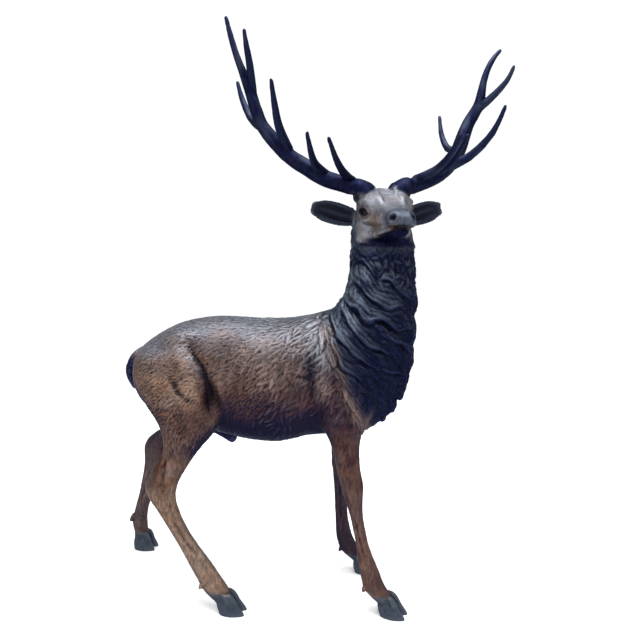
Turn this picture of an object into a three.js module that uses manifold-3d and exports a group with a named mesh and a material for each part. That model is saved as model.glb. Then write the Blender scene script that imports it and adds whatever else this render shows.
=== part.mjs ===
// A life-size red deer stag in cast bronze, standing with its head turned to its right.
// Millimetres. +X is the way the body faces, +Y is the stag's left, +Z is up.
// Every form below is given from a point on the ground amid the four hooves; the finished
// stag is then shifted so that the origin is at the middle of its box, on the ground.

import * as THREE from 'three';
import { mergeVertices } from 'three/addons/utils/BufferGeometryUtils.js';
import Module from 'manifold-3d';

const wasm = await Module();
wasm.setup();

// ---------------------------------------------------------------- driving sizes

const STANCE_SHIFT = [-73, -31, 0];

// The point between the antlers, and the way the head faces: 70 degrees to the stag's right.
const SKULL = [420, -30, 1670];
const HEAD_TURN = THREE.MathUtils.degToRad(-70);
const HEAD_FORWARD = new THREE.Vector3(Math.cos(HEAD_TURN), Math.sin(HEAD_TURN), 0);
const HEAD_LEFT = new THREE.Vector3(-Math.sin(HEAD_TURN), Math.cos(HEAD_TURN), 0);

// Each row is one section of a form: its upper or front edge, its lower or back edge, the place
// of its middle to the left, and its half width. A form's rows run rump to chest, chest to head,
// nape to nose, or hip to hoof.
const TORSO = [
  [-598, 960, -598, 900, 0, 40],
  [-582, 1020, -578, 845, 0, 105],
  [-540, 1064, -535, 790, 0, 152],
  [-470, 1106, -470, 748, 0, 184],
  [-390, 1142, -390, 722, 0, 198],
  [-290, 1163, -290, 704, 0, 198],
  [-190, 1166, -190, 682, 0, 194],
  [-80, 1161, -80, 668, 0, 204],
  [30, 1160, 30, 670, 0, 212],
  [130, 1177, 130, 698, 0, 208],
  [220, 1196, 220, 704, 0, 190],
  [300, 1206, 310, 706, 0, 168],
  [360, 1170, 385, 742, 0, 146],
  [420, 1100, 445, 800, 0, 112],
  [470, 1020, 485, 880, 0, 66],
];

const NECK = [
  [190, 900, 360, 735, 0, 92],
  [180, 985, 432, 785, 0, 136],
  [178, 1060, 480, 838, 0, 158],
  [186, 1120, 512, 905, 0, 170],
  [204, 1168, 532, 990, 0, 170],
  [232, 1200, 543, 1085, 0, 163],
  [264, 1232, 546, 1175, 0, 151],
  [292, 1300, 548, 1265, 0, 139],
  [303, 1375, 541, 1350, -2, 128],
  [306, 1450, 537, 1440, -6, 119],
  [308, 1520, 530, 1520, -12, 112],
  [318, 1590, 508, 1595, -18, 98],
  [350, 1640, 480, 1640, -24, 66],
];

const CRANIUM = [
  [-112, -50, -112, -110, 0, 42],
  [-92, -18, -96, -160, 0, 74],
  [-48, 2, -50, -192, 0, 92],
  [0, 6, 0, -178, 0, 98],
  [45, -4, 42, -162, 0, 99],
  [85, -20, 78, -150, 0, 88],
  [125, -40, 114, -152, 0, 73],
  [165, -56, 150, -150, 0, 62],
  [205, -68, 190, -147, 0, 54],
  [235, -76, 222, -142, 0, 51],
  [257, -88, 246, -134, 0, 43],
  [268, -104, 262, -120, 0, 22],
];

const JAW = [
  [-70, -90, -80, -205, 0, 68],
  [-20, -90, -25, -212, 0, 80],
  [40, -96, 30, -210, 0, 79],
  [90, -106, 78, -202, 0, 66],
  [140, -112, 128, -192, 0, 54],
  [185, -118, 176, -185, 0, 46],
  [215, -124, 212, -178, 0, 40],
  [230, -134, 230, -166, 0, 24],
];

const LEGS = {
  rightHind: [
    [-270, 1050, -550, 1010, -95, 64],
    [-205, 925, -560, 930, -125, 90],
    [-185, 825, -505, 825, -150, 88],
    [-205, 755, -455, 765, -165, 74],
    [-248, 705, -432, 700, -178, 58],
    [-291, 655, -430, 644, -188, 48],
    [-332, 592, -464, 582, -196, 37],
    [-362, 540, -493, 530, -200, 34],
    [-377, 490, -499, 492, -203, 34],
    [-374, 441, -478, 447, -205, 30],
    [-340, 353, -400, 321, -208, 26],
    [-276, 256, -343, 219, -211, 26],
    [-222, 178, -300, 146, -213, 29],
    [-182, 120, -276, 98, -214, 33],
    [-160, 88, -238, 62, -215, 32],
    [-145, 62, -205, 28, -215, 28],
  ],
  leftHind: [
    [-270, 1050, -550, 1010, 95, 64],
    [-225, 925, -570, 930, 125, 90],
    [-230, 825, -550, 815, 150, 88],
    [-285, 750, -532, 735, 168, 70],
    [-365, 680, -540, 668, 182, 55],
    [-450, 620, -575, 622, 195, 44],
    [-525, 570, -644, 574, 202, 36],
    [-560, 515, -674, 520, 208, 34],
    [-585, 450, -682, 448, 214, 30],
    [-622, 375, -696, 370, 220, 26],
    [-652, 295, -716, 290, 228, 25],
    [-680, 220, -744, 212, 236, 26],
    [-692, 160, -764, 145, 244, 31],
    [-694, 110, -762, 95, 250, 33],
    [-690, 64, -748, 30, 255, 30],
  ],
  rightFore: [
    [350, 1090, 200, 1110, -90, 62],
    [392, 980, 160, 1000, -110, 78],
    [400, 880, 165, 870, -128, 76],
    [370, 790, 200, 770, -140, 62],
    [352, 720, 235, 710, -146, 52],
    [349, 660, 251, 655, -148, 45],
    [354, 600, 264, 600, -149, 38],
    [365, 540, 279, 542, -149, 37],
    [365, 480, 295, 478, -149, 32],
    [367, 405, 317, 402, -148, 26],
    [380, 335, 333, 328, -147, 24],
    [394, 275, 344, 262, -146, 24],
    [412, 225, 352, 210, -146, 27],
    [434, 172, 362, 158, -145, 31],
    [455, 122, 375, 104, -145, 34],
    [480, 88, 412, 68, -145, 32],
    [500, 62, 448, 28, -145, 28],
  ],
  leftFore: [
    [350, 1090, 200, 1110, 90, 62],
    [392, 980, 160, 1000, 112, 78],
    [392, 880, 165, 870, 132, 76],
    [350, 790, 190, 770, 146, 62],
    [320, 720, 198, 710, 154, 52],
    [304, 660, 199, 655, 160, 45],
    [294, 600, 200, 600, 164, 38],
    [292, 540, 203, 540, 168, 37],
    [284, 475, 208, 475, 171, 32],
    [272, 400, 212, 400, 174, 26],
    [270, 330, 216, 330, 177, 24],
    [273, 262, 219, 258, 179, 24],
    [282, 210, 221, 200, 181, 27],
    [296, 160, 226, 146, 183, 31],
    [318, 118, 242, 98, 185, 34],
    [342, 88, 278, 66, 187, 32],
    [364, 62, 316, 30, 188, 28],
  ],
};

// Each hoof on the ground: x, y, the way it points in degrees, and how far its top leans back.
const HOOVES = [
  [-146, -215, 0, 30],
  [-707, 255, -2, 8],
  [494, -145, -12, 30],
  [358, 188, 4, 24],
];
const HOOF_LENGTH = 102;
const HOOF_HEIGHT = 86;
const TOE_HALF_WIDTH = 20;
const CLEFT = 5;
const DEWCLAW_LENGTH = 34;
const DEWCLAW_RADIUS = 11;

const TAIL = [
  [-520, 1065, -545, 985, 0, 40],
  [-575, 1040, -585, 975, 0, 40],
  [-626, 1000, -600, 945, 0, 36],
  [-652, 940, -612, 920, 0, 32],
  [-643, 890, -612, 885, 0, 24],
  [-618, 852, -610, 856, 0, 8],
];

const SHEATH = [
  [-300, 720, -300, 690, 0, 40],
  [-255, 715, -262, 668, 0, 30],
  [-215, 700, -222, 652, 0, 20],
  [-188, 664, -196, 642, 0, 9],
];

const EAR_BASE = [92, -32, -106];
const EAR_TIP = [264, -66, -62];
const EAR_HALF_WIDTH = 51;
const EAR_OUTLINE = [0.66, 0.84, 0.97, 1.02, 0.98, 0.82, 0.3];
const EAR_THICK = 9;
const EAR_HOLLOW = 22;
const EYE = [80, 70, -74];
const EYE_RADIUS = 18;

// Antlers: outward, forward and up from the skull point. A tine runs from the beam to its tip.
const ANTLERS = [
  {
    side: -1,
    beam: [[50, -8, -35], [81, 0, 1], [150, -10, 24], [216, -30, 46], [282, -50, 85], [347, -80, 131],
      [412, -100, 200], [452, -115, 258], [483, -120, 360], [514, -118, 437], [538, -118, 500],
      [558, -121, 570], [573, -125, 633]],
    tines: [
      [[122, -10, 36], [168, 50, 66], [210, 115, 108], [251, 180, 172]],
      [[215, -30, 60], [268, 30, 94], [298, 95, 136], [321, 150, 192]],
      [[350, -75, 150], [395, -15, 230], [418, 40, 302], [438, 100, 374]],
      [[455, -118, 245], [481, -190, 286], [506, -250, 364], [521, -280, 434]],
      [[480, -116, 365], [490, -88, 450], [506, -55, 520], [516, -30, 567]],
    ],
  },
  {
    side: 1,
    beam: [[42, -8, -35], [66, 0, 0], [136, -10, 25], [203, -30, 51], [275, -60, 90], [340, -95, 161],
      [372, -110, 232], [398, -120, 284], [435, -118, 345], [446, -115, 415], [465, -118, 480],
      [494, -122, 532], [525, -125, 567]],
    tines: [
      [[130, -10, 40], [194, 50, 78], [222, 120, 130], [237, 180, 193]],
      [[215, -30, 66], [258, 30, 100], [272, 90, 146], [276, 150, 197]],
      [[242, -50, 80], [345, 0, 131], [412, 62, 216], [445, 100, 314]],
      [[345, -105, 165], [335, -190, 184], [330, -250, 250], [332, -280, 326]],
      [[430, -118, 330], [488, -84, 388], [521, -50, 436], [539, -30, 487]],
    ],
  },
];
const BEAM_RADII = [28, 28, 28, 29, 29, 28, 25, 22, 20, 13, 10, 8, 4];

// A tine of this length has these radii, and a longer one is thicker.
const TINE_LENGTH = 270;
const TINE_RADII = [18, 13, 9, 4];
const BURR_RADIUS = 37;

const MANE_FOLDS = 9;
const MANE_SLANT = 1.15;
const MANE_RELIEF = 0.06;
const FRINGE_LOCKS = 7;
const LOCK_RADII = [10, 20, 15, 3];

const SLIVER = 3;

// ---------------------------------------------------------------- lofted forms

// A value at place t, 0 to 1, on a smooth curve through evenly spread values.
function smooth(values, t) {
  const last = values.length - 1;
  const place = t * last;
  const i = Math.min(Math.floor(place), last - 1);
  const f = place - i;
  const a = values[Math.max(i - 1, 0)];
  const b = values[i];
  const c = values[i + 1];
  const d = values[Math.min(i + 2, last)];
  return b + 0.5 * f * (c - a + f * (2 * a - 5 * b + 4 * c - d + f * (3 * (b - c) + d - a)));
}

// The point at place t on a smooth curve through points given as rows of three numbers.
function along(points, t) {
  return new THREE.Vector3(...[0, 1, 2].map((k) => smooth(points.map((p) => p[k]), t)));
}

// A closed skin through rings of points, each ring with the same number of points, facing outward.
function skin(rings) {
  const sides = rings[0].length;
  const positions = [];
  for (const point of rings.flat()) positions.push(point.x, point.y, point.z);
  const index = [];
  for (let i = 0; i + 1 < rings.length; i++) {
    for (let j = 0; j < sides; j++) {
      const a = i * sides + j;
      const b = i * sides + ((j + 1) % sides);
      index.push(a, b, a + sides, b, b + sides, a + sides);
    }
  }
  for (const i of [0, rings.length - 1]) {
    const middle = rings[i].reduce((sum, p) => sum.add(p), new THREE.Vector3()).divideScalar(sides);
    const centre = positions.length / 3;
    positions.push(middle.x, middle.y, middle.z);
    for (let j = 0; j < sides; j++) {
      const a = i * sides + j;
      const b = i * sides + ((j + 1) % sides);
      index.push(...(i === 0 ? [centre, b, a] : [centre, a, b]));
    }
  }
  const corner = (k) => new THREE.Vector3().fromArray(positions, 3 * index[k]);
  let volume = 0;
  for (let k = 0; k < index.length; k += 3) volume += corner(k).dot(corner(k + 1).cross(corner(k + 2)));
  const geometry = new THREE.BufferGeometry();
  geometry.setAttribute('position', new THREE.Float32BufferAttribute(positions, 3));
  geometry.setIndex(volume > 0 ? index : index.reverse());
  return geometry;
}

const inBody = (x, y, z) => new THREE.Vector3(x, y, z);

// A place given in the head's own directions: forward, to its left and up from the skull point.
function inHead(forward, left, up) {
  const place = new THREE.Vector3(...SKULL);
  place.addScaledVector(HEAD_FORWARD, forward).addScaledVector(HEAD_LEFT, left);
  place.z += up;
  return place;
}

// A closed form through sections, each an oval between its upper and lower edge. `square` below 1
// fills the oval's corners, and `relief` pushes the skin out by a share of its reach.
function form(rows, { rings, sides, place = inBody, square = 1, relief = () => 0 }) {
  const round = (value) => Math.sign(value) * Math.abs(value) ** square;
  const out = [];
  for (let i = 0; i < rings; i++) {
    const t = i / (rings - 1);
    const [ux, uz, lx, lz, y, half] = rows[0].map((_, k) => smooth(rows.map((row) => row[k]), t));
    const ring = [];
    for (let j = 0; j < sides; j++) {
      const angle = (2 * Math.PI * j) / sides;
      const grow = 1 + relief(t, angle);
      const aside = half * round(Math.cos(angle)) * grow;
      const rise = 0.5 * round(Math.sin(angle)) * grow;
      ring.push(place(0.5 * (ux + lx) + rise * (ux - lx), y + aside, 0.5 * (uz + lz) + rise * (uz - lz)));
    }
    out.push(ring);
  }
  return solid(skin(out));
}

// A closed round bar along a smooth curve through points, with a radius for each point.
function bar(points, radii, { rings, sides }) {
  const out = [];
  let across = new THREE.Vector3(0, 0, 1);
  for (let i = 0; i < rings; i++) {
    const t = i / (rings - 1);
    const middle = along(points, t);
    const ahead = along(points, Math.min(t + 0.01, 1)).sub(along(points, Math.max(t - 0.01, 0))).normalize();
    across = across.clone().addScaledVector(ahead, -across.dot(ahead)).normalize();
    const third = ahead.clone().cross(across);
    const radius = smooth(radii, t);
    const ring = [];
    for (let j = 0; j < sides; j++) {
      const angle = (2 * Math.PI * j) / sides;
      const point = middle.clone().addScaledVector(across, radius * Math.cos(angle));
      ring.push(point.addScaledVector(third, radius * Math.sin(angle)));
    }
    out.push(ring);
  }
  return solid(skin(out));
}

// Joins the ends of edges shorter than `shortest`, wherever that keeps the skin closed and unfolded.
function withoutSlivers(positions, triangles, shortest) {
  const points = Array.from({ length: positions.length / 3 }, (_, i) => (
    new THREE.Vector3().fromArray(positions, 3 * i)
  ));
  const faces = Array.from({ length: triangles.length / 3 }, (_, i) => [...triangles.slice(3 * i, 3 * i + 3)]);
  const facesAt = points.map(() => new Set());
  faces.forEach((face, f) => face.forEach((v) => facesAt[v].add(f)));
  const normal = (face) => {
    const [a, b, c] = face.map((v) => points[v]);
    return b.clone().sub(a).cross(c.clone().sub(a));
  };
  const neighbours = (v) => new Set([...facesAt[v]].flatMap((f) => faces[f]).filter((w) => w !== v));
  const canJoin = (keep, drop) => {
    if (points[keep].distanceTo(points[drop]) > shortest) return false;
    const around = neighbours(keep);
    if ([...neighbours(drop)].filter((v) => around.has(v)).length !== 2) return false;
    return [...facesAt[drop]].filter((f) => !faces[f].includes(keep)).every((f) => {
      const moved = faces[f].map((v) => (v === drop ? keep : v));
      const before = normal(faces[f]);
      const after = normal(moved);
      return after.dot(before) > 0.5 * after.length() * before.length() && after.length() > 1;
    });
  };
  const join = (keep, drop) => {
    for (const f of facesAt[drop]) {
      if (faces[f].includes(keep)) {
        faces[f].forEach((v) => v !== drop && facesAt[v].delete(f));
        faces[f] = null;
      } else {
        faces[f] = faces[f].map((v) => (v === drop ? keep : v));
        facesAt[keep].add(f);
      }
    }
    facesAt[drop].clear();
  };
  for (let pass = 0; pass < 3; pass++) {
    for (let drop = 0; drop < points.length; drop++) {
      const keep = [...neighbours(drop)].find((v) => canJoin(v, drop));
      if (keep !== undefined) join(keep, drop);
    }
  }
  const geometry = new THREE.BufferGeometry();
  geometry.setAttribute('position', new THREE.Float32BufferAttribute(positions, 3));
  geometry.setIndex(faces.filter(Boolean).flat());
  const plain = geometry.toNonIndexed();
  return mergeVertices(plain, 1e-4);
}

function solid(geometry) {
  geometry.deleteAttribute('normal');
  geometry.deleteAttribute('uv');
  const merged = mergeVertices(geometry, 1e-4);
  const vertProperties = new Float32Array(merged.attributes.position.array);
  const triVerts = new Uint32Array(merged.index.array);
  return new wasm.Manifold(new wasm.Mesh({ numProp: 3, vertProperties, triVerts }));
}

// ---------------------------------------------------------------- body

// The mane lies in slanting folds that come forward as they fall.
function maneFold(t, angle) {
  const strength = MANE_RELIEF * Math.sin(Math.PI * Math.min(1, 0.1 + t)) ** 0.7;
  const phase = 2 * Math.PI * (MANE_FOLDS * t - MANE_SLANT * Math.sin(angle));
  return strength * (Math.sin(phase) + 0.35 * Math.sin(2 * phase + 1));
}

function body() {
  return [
    form(TORSO, { rings: 22, sides: 18, square: 0.92 }),
    form(NECK, { rings: 36, sides: 22, relief: maneFold }),
    form(TAIL, { rings: 9, sides: 8 }),
    form(SHEATH, { rings: 6, sides: 8 }),
    ...fringe(),
  ];
}

// Hanging locks along both sides of the chest, each rooted in the mane and free at its tip.
function fringe() {
  const throat = NECK.slice(0, 7).map(([, , x, z, , half]) => [x, half, z]);
  const locks = [];
  for (let i = 0; i < FRINGE_LOCKS; i++) {
    for (const side of i === 0 ? [0] : [-1, 1]) {
      const edge = along(throat, 0.05 + (0.8 * i) / (FRINGE_LOCKS - 1));
      const aside = side * 0.45 * edge.y;
      const root = [edge.x - 45, aside, edge.z + 90];
      const swell = [edge.x - 14, aside, edge.z + 44];
      const hang = [edge.x - 4, aside, edge.z + 6];
      const tip = [edge.x - 8, aside * 0.95, edge.z - 26];
      locks.push(bar([root, swell, hang, tip], LOCK_RADII, { rings: 5, sides: 5 }));
    }
  }
  return locks;
}

// ---------------------------------------------------------------- head

function head() {
  const eyes = [1, -1].map((side) => {
    const eye = new THREE.SphereGeometry(EYE_RADIUS, 8, 6);
    const [left, forward, up] = EYE;
    eye.translate(...inHead(forward, side * left, up).toArray());
    return solid(eye);
  });
  return [
    form(CRANIUM, { rings: 18, sides: 16, place: inHead, square: 0.92 }),
    form(JAW, { rings: 10, sides: 10, place: inHead, square: 0.9 }),
    ear(1),
    ear(-1),
    ...eyes,
    ...ANTLERS.flatMap(antler),
  ];
}

// One ear: a leaf hollowed towards the front. `side` is 1 for the stag's left and -1 for its right.
function ear(side) {
  const base = inHead(EAR_BASE[1], side * EAR_BASE[0], EAR_BASE[2]);
  const tip = inHead(EAR_TIP[1], side * EAR_TIP[0], EAR_TIP[2]);
  const length = tip.clone().sub(base).normalize();
  const front = HEAD_FORWARD.clone().addScaledVector(length, -HEAD_FORWARD.dot(length)).normalize();
  const wide = length.clone().cross(front).multiplyScalar(side);
  const steps = 8;
  const across = 5;
  const rings = [];
  for (let i = 0; i <= steps; i++) {
    const t = i / steps;
    const share = smooth(EAR_OUTLINE, t);
    const middle = base.clone().lerp(tip, t);
    const ring = [];
    for (let k = 0; k < 2 * across; k++) {
      const behind = k >= across;
      const u = behind ? 1 - (2 * (k - across) + 1) / across : (2 * k + 1) / across - 1;
      const hollow = EAR_HOLLOW * share * (u * u - 0.5);
      const depth = hollow + (behind ? -EAR_THICK : EAR_THICK) * (1 - 0.5 * t) * Math.sqrt(1 - 0.8 * u * u);
      ring.push(middle.clone().addScaledVector(wide, u * share * EAR_HALF_WIDTH).addScaledVector(front, depth));
    }
    rings.push(ring);
  }
  return solid(skin(rings));
}

function tineRadii(tine) {
  const [root, tip] = [tine[0], tine[tine.length - 1]].map((point) => new THREE.Vector3(...point));
  const thick = Math.sqrt(root.distanceTo(tip) / TINE_LENGTH);
  return TINE_RADII.map((radius, i) => (i + 1 < TINE_RADII.length ? radius * thick : radius));
}

function antler({ side, beam, tines }) {
  const placed = (points) => points.map(([outward, forward, up]) => (
    inHead(forward, side * outward, up).toArray()
  ));
  const root = placed(beam.slice(0, 2));
  const burrEnds = [0.5, 1.15].map((t) => new THREE.Vector3(...root[0]).lerp(new THREE.Vector3(...root[1]), t));
  const burr = [0, 0.33, 0.66, 1].map((t) => burrEnds[0].clone().lerp(burrEnds[1], t).toArray());
  return [
    bar(placed(beam), BEAM_RADII, { rings: 22, sides: 8 }),
    bar(burr, [26, BURR_RADIUS, BURR_RADIUS, 24], { rings: 4, sides: 8 }),
    ...tines.map((tine) => bar(placed(tine), tineRadii(tine), { rings: 7, sides: 6 })),
  ];
}

// ---------------------------------------------------------------- legs and hooves

function legs() {
  return Object.values(LEGS).flatMap((rows, i) => [
    form(rows, { rings: 22, sides: 10 }),
    ...dewclaws(rows[rows.length - 3]),
  ]);
}

// Two small claws that point down and back behind the fetlock.
function dewclaws([, , x, z, y]) {
  return [-1, 1].map((side) => {
    const points = [0, 0.5, 1].map((t) => (
      [x + 16 - 22 * t, y + side * (16 + 5 * t), z + 32 - DEWCLAW_LENGTH * t]
    ));
    return bar(points, [DEWCLAW_RADIUS, DEWCLAW_RADIUS, 4], { rings: 3, sides: 5 });
  });
}

// One half of a cloven hoof, with a flat sole and a front wall that leans back to the pastern.
function toe([x, y, turn, lean], side) {
  const levels = [[0, 0.5, 0.48, 1], [0.1, 0.5, 0.5, 1.02], [0.5, 0.38, 0.48, 0.96], [1, 0.24, 0.4, 0.7]];
  const sides = 12;
  const rings = levels.map(([rise, toeReach, heelReach, width]) => {
    const ring = [];
    for (let j = 0; j < sides; j++) {
      const angle = (2 * Math.PI * j) / sides;
      const c = Math.cos(angle);
      const forward = HOOF_LENGTH * (c > 0 ? toeReach : heelReach) * c;
      const aside = TOE_HALF_WIDTH * width * Math.sin(angle) * (c > 0 ? 1 - 0.25 * c : 1);
      const across = aside + side * (TOE_HALF_WIDTH + CLEFT / 2) * (1 - 0.2 * rise);
      ring.push(new THREE.Vector3(forward - lean * rise, across, HOOF_HEIGHT * rise));
    }
    return ring;
  });
  const geometry = skin(rings);
  const place = new THREE.Matrix4().makeRotationZ(THREE.MathUtils.degToRad(turn)).setPosition(x, y, 0);
  geometry.applyMatrix4(place);
  return solid(geometry);
}

// ---------------------------------------------------------------- the stag

function stag() {
  const hooves = HOOVES.flatMap((hoof) => [toe(hoof, 1), toe(hoof, -1)]);
  const cast = [...body(), ...head(), ...legs(), ...hooves].reduce((whole, piece) => whole.add(piece));
  const { vertProperties, triVerts } = cast.getMesh();
  const geometry = withoutSlivers(vertProperties, triVerts, SLIVER);
  geometry.computeVertexNormals();
  const bronze = new THREE.MeshStandardMaterial({ color: 0x5f4632, roughness: 0.45, metalness: 0.9 });
  const mesh = new THREE.Mesh(geometry, bronze);
  mesh.name = 'stag';
  mesh.position.set(...STANCE_SHIFT);
  return mesh;
}

const model = new THREE.Group();
model.add(stag());
export default model;
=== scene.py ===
import math

import bmesh
import bpy
import numpy as np
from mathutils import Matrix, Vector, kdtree


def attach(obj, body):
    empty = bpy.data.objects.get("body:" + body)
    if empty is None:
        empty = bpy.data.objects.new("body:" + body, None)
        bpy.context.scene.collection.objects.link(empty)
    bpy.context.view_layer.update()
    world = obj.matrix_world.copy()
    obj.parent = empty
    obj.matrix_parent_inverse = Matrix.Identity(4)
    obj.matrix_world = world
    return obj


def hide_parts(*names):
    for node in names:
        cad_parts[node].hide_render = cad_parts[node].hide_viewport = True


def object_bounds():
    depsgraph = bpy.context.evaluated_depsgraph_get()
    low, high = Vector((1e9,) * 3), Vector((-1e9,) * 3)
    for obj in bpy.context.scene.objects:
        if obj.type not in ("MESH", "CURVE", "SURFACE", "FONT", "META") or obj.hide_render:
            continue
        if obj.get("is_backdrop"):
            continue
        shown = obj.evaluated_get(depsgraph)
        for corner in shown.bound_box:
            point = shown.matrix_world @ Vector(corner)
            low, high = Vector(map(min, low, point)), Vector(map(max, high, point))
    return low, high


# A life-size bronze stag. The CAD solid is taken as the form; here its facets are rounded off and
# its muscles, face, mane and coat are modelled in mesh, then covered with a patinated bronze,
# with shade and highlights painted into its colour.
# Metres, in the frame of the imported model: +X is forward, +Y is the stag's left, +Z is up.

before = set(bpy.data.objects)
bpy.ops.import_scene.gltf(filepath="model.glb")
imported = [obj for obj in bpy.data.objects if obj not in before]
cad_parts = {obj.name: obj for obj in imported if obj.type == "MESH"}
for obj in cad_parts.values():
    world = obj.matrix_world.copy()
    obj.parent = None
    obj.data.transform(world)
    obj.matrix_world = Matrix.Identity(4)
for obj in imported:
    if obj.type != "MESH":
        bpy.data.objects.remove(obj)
cad_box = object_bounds()

# ---------------------------------------------------------------- measures

VOXEL = 0.0037
FACE_LIMIT = 199000
SEED = 7
BOX_GAP = 0.0002
ANTLER_BOW = 0.0014

# The point between the antlers, and the way the head faces: 70 degrees to the stag's right.
SKULL = np.array([0.347, -0.061, 1.670])
HEAD_TURN = math.radians(-70)
HEAD_FORWARD = np.array([math.cos(HEAD_TURN), math.sin(HEAD_TURN), 0.0])
HEAD_LEFT = np.array([-math.sin(HEAD_TURN), math.cos(HEAD_TURN), 0.0])
UP = np.array([0.0, 0.0, 1.0])
MIDDLE_Y = -0.031
SHEATH = (-0.262, -0.031, 0.655)

# Where the mane ends, seen from the side: from the withers down to the chest between the forelegs.
MANE_TOP = (0.085, 1.20)
MANE_FOOT = (0.275, 0.74)

# The joints of each leg from the hip or shoulder blade to the coronet of the hoof.
LEG_JOINTS = {
    "right_hind": [(-0.48, -0.15, 1.02), (-0.36, -0.19, 0.82), (-0.43, -0.22, 0.66), (-0.505, -0.231, 0.52),
                   (-0.46, -0.237, 0.40), (-0.345, -0.243, 0.20), (-0.295, -0.245, 0.115),
                   (-0.262, -0.246, 0.07)],
    "left_hind": [(-0.48, 0.09, 1.02), (-0.44, 0.13, 0.82), (-0.53, 0.155, 0.66), (-0.675, 0.175, 0.53),
                  (-0.71, 0.185, 0.43), (-0.785, 0.205, 0.22), (-0.80, 0.215, 0.12), (-0.792, 0.224, 0.07)],
    "right_fore": [(0.21, -0.13, 1.05), (0.21, -0.165, 0.85), (0.22, -0.178, 0.70), (0.25, -0.18, 0.52),
                   (0.265, -0.179, 0.42), (0.305, -0.177, 0.22), (0.35, -0.176, 0.12),
                   (0.385, -0.176, 0.07)],
    "left_fore": [(0.20, 0.07, 1.05), (0.20, 0.105, 0.85), (0.185, 0.125, 0.70), (0.175, 0.138, 0.53),
                  (0.17, 0.143, 0.42), (0.175, 0.149, 0.22), (0.20, 0.153, 0.12), (0.235, 0.156, 0.07)],
}

rng = np.random.default_rng(SEED)


# ---------------------------------------------------------------- small tools

def step(low, high, value):
    """A smooth rise from 0 at low to 1 at high; it falls where low is above high."""
    t = np.clip((value - low) / (high - low), 0, 1)
    return t * t * (3 - 2 * t)


def bell(value, width):
    return np.exp(-(value / width) ** 2)


def unit(vectors):
    return vectors / np.maximum(np.linalg.norm(vectors, axis=-1, keepdims=True), 1e-12)


def in_head(points):
    """Places in the head's own directions from the skull point: forward, to its left, up."""
    away = points - SKULL
    return away @ HEAD_FORWARD, away @ HEAD_LEFT, away @ UP


# ---------------------------------------------------------------- the form, from the CAD solid

def rounded(node, cuts=4, bulge=0.8):
    """The solid's triangles cut finer and bowed out to meet its corner normals, the antlers' less."""
    mesh = node.data
    mesh.calc_loop_triangles()
    corners = np.empty(len(mesh.vertices) * 3)
    mesh.vertices.foreach_get("co", corners)
    corners = corners.reshape(-1, 3)
    tris = np.empty(len(mesh.loop_triangles) * 3, np.int64)
    mesh.loop_triangles.foreach_get("vertices", tris)
    _, first, which = np.unique(np.round(corners, 5), axis=0, return_index=True, return_inverse=True)
    tris = which.reshape(-1)[tris].reshape(-1, 3)
    corners = corners[first]
    normals = corner_normals(corners, tris)
    grid = [(i, j) for i in range(cuts + 1) for j in range(cuts + 1 - i)]
    place = {ij: n for n, ij in enumerate(grid)}
    share = np.array([(i, j, cuts - i - j) for i, j in grid]) / cuts
    small = [(place[i, j], place[i + 1, j], place[i, j + 1]) for i, j in grid if i + j < cuts]
    small += [(place[i + 1, j], place[i + 1, j + 1], place[i, j + 1]) for i, j in grid if i + j < cuts - 1]
    p, n = corners[tris], normals[tris]
    flat = np.einsum("gc,tck->tgk", share, p)
    bowed = np.zeros_like(flat)
    for c in range(3):
        off = np.einsum("tgk,tk->tg", flat - p[:, None, c], n[:, c])
        bowed += share[None, :, c, None] * (flat - off[..., None] * n[:, None, c])
    bow = bulge * (bowed - flat)
    size = np.maximum(np.linalg.norm(bow, axis=2, keepdims=True), 1e-9)
    most = np.where(flat[..., 2:] > SKULL[2] + 0.05, ANTLER_BOW, 1.0)
    points = flat + bow * np.minimum(1, most / size)
    faces = np.arange(len(tris))[:, None, None] * len(grid) + np.array(small)[None]
    return points.reshape(-1, 3), faces.reshape(-1, 3)


def corner_normals(points, tris):
    """Normals at the points, each face weighed by its angle there."""
    a, b, c = (points[tris[:, k]] for k in range(3))
    face = unit(np.cross(b - a, c - a))
    out = np.zeros_like(points)
    for k, (p, q, r) in enumerate(((a, b, c), (b, c, a), (c, a, b))):
        angle = np.arccos(np.clip((unit(q - p) * unit(r - p)).sum(1), -1, 1))
        for axis in range(3):
            out[:, axis] += np.bincount(tris[:, k], angle * face[:, axis], len(points))
    return unit(out)


def new_mesh(name, points, faces):
    mesh = bpy.data.meshes.new(name)
    mesh.vertices.add(len(points))
    mesh.vertices.foreach_set("co", points.astype(np.float32).ravel())
    mesh.loops.add(faces.size)
    mesh.loops.foreach_set("vertex_index", faces.astype(np.int32).ravel())
    mesh.polygons.add(len(faces))
    mesh.polygons.foreach_set("loop_start", np.arange(0, faces.size, faces.shape[1], dtype=np.int32))
    mesh.update(calc_edges=True)
    mesh.validate()
    return mesh


def applied(obj, **modifier):
    """The object's mesh with one modifier of the given kind and settings applied."""
    kind = modifier.pop("kind")
    mod = obj.modifiers.new(kind, kind)
    for key, value in modifier.items():
        setattr(mod, key, value)
    bpy.context.view_layer.update()
    graph = bpy.context.evaluated_depsgraph_get()
    mesh = bpy.data.meshes.new_from_object(obj.evaluated_get(graph))
    obj.modifiers.clear()
    old = obj.data
    obj.data = mesh
    bpy.data.meshes.remove(old)
    return mesh


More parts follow.
